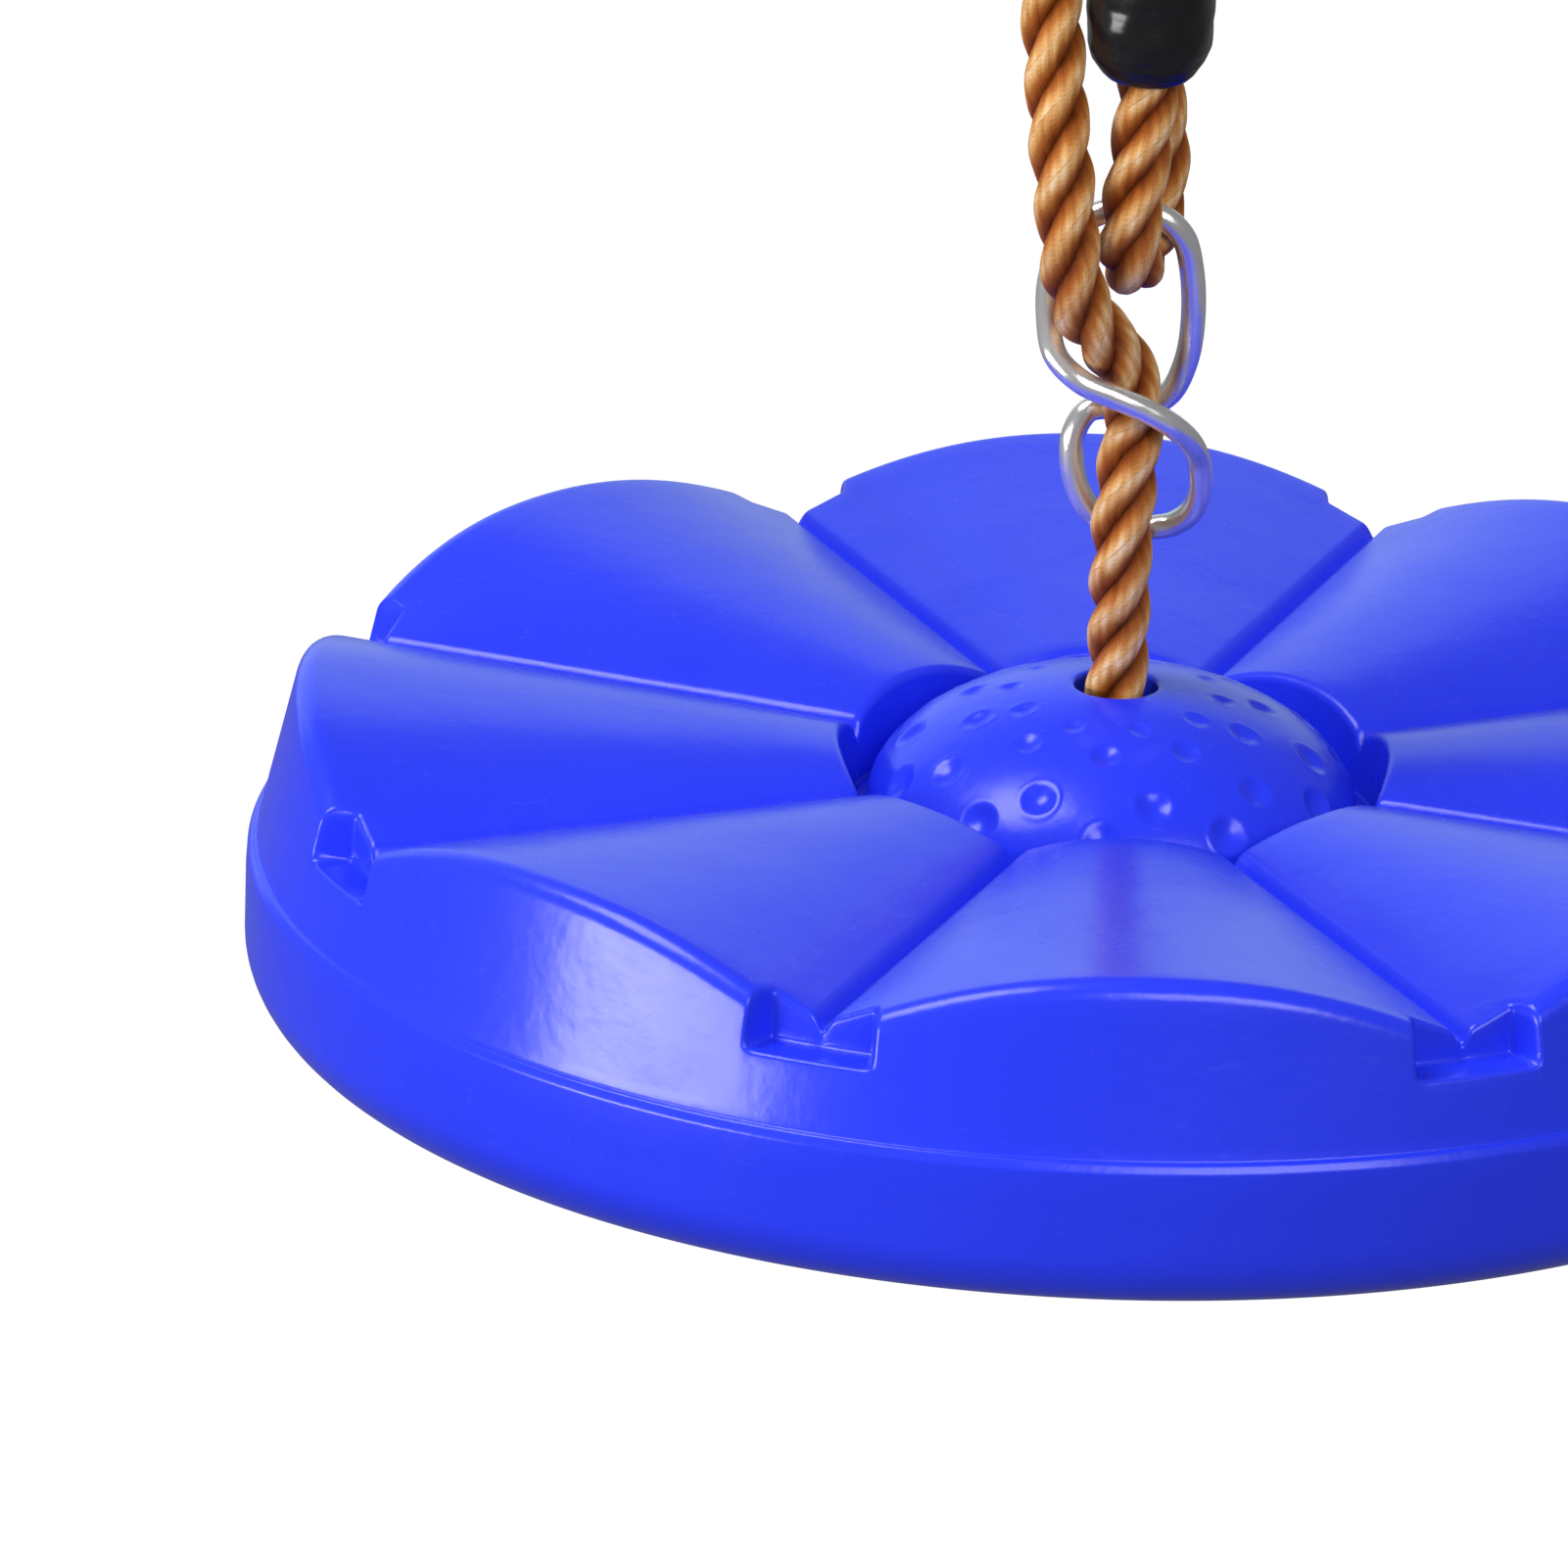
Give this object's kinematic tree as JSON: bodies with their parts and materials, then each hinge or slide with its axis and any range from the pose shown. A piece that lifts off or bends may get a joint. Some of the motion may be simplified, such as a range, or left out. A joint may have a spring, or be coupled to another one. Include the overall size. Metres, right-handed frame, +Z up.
{
  "type": "disc swing",
  "caption": "Playground disc swing: a hollow flower-shaped plastic seat under one adjustable rope that hangs from a steel ring.",
  "frame": {"origin": "the top of the hanging ring's inside, where it rests on its hook", "axes": "+Z up along the hanging line, -Y towards the front, +X to the right; the ring lies in the YZ plane and the rope's loop in the XZ plane"},
  "size_m": [0.28, 0.28, 0.314],
  "materials": {
    "seat_plastic": "satin blow-moulded polyethylene, saturated blue",
    "hemp_rope": "plaited hemp-coloured fibre rope, slightly shiny strands",
    "zinc_steel": "zinc plated",
    "bright_wire": "bright drawn wire",
    "crimp_alloy": "pressed, dull",
    "black_sleeve": "shrunk black sleeve, semi gloss",
    "black_nylon": "moulded nylon, satin"
  },
  "bodies": {
    "ring": {"hanging_ring": "zinc_steel"},
    "thimble": {"thimble": "black_nylon", "rope_bight": "hemp_rope", "rope_flex_left": "hemp_rope", "rope_flex_right": "hemp_rope"},
    "strands": {"rope_left": "hemp_rope", "rope_right": "hemp_rope"},
    "adjuster": {"adjuster_wire": "bright_wire", "crimp_ferrule": "crimp_alloy", "crimp_sleeve": "black_sleeve", "rope_eye": "hemp_rope", "rope_through": "hemp_rope"},
    "neck": {"rope_neck": "hemp_rope"},
    "rope_end": {"rope_mouth": "hemp_rope"},
    "seat": {"seat_shell": "seat_plastic", "blow_hole_plug": "seat_plastic", "washer": "zinc_steel", "rope_knot": "hemp_rope", "rope_foot": "hemp_rope"}
  },
  "joints": [
    {"name": "swing_side", "type": "hinge", "parent": "ring", "child": "thimble", "pos_m": [0, 0, -0.0515], "axis": [0, 1, 0], "range_deg": [-40, 40]},
    {"name": "swing_fore", "type": "hinge", "parent": "thimble", "child": "strands", "pos_m": [0, 0, -0.085], "axis": [1, 0, 0], "range_deg": [-40, 40], "deforming": ["rope_flex_left", "rope_flex_right"]},
    {"name": "height_adjust", "type": "slide", "parent": "strands", "child": "adjuster", "axis": [0, 0, 1], "range_m": [-0.009, 0.018], "deforming": ["rope_left", "rope_right"]},
    {"name": "seat_height", "type": "slide", "parent": "adjuster", "child": "neck", "axis": [0, 0, 1], "range_m": [-0.036, 0.018], "deforming": ["rope_neck"]},
    {"name": "seat_spin", "type": "hinge", "parent": "neck", "child": "rope_end", "pos_m": [0, 0, -0.263], "axis": [0, 0, 1], "continuous": true},
    {"name": "seat_rock", "type": "hinge", "parent": "rope_end", "child": "seat", "pos_m": [0, 0, -0.261], "axis": [0, 1, 0], "range_deg": [-18, 18], "deforming": ["rope_mouth"]}
  ],
  "couplings": [
    {"joint": "seat_height", "follows": "height_adjust", "ratio": -2}
  ]
}
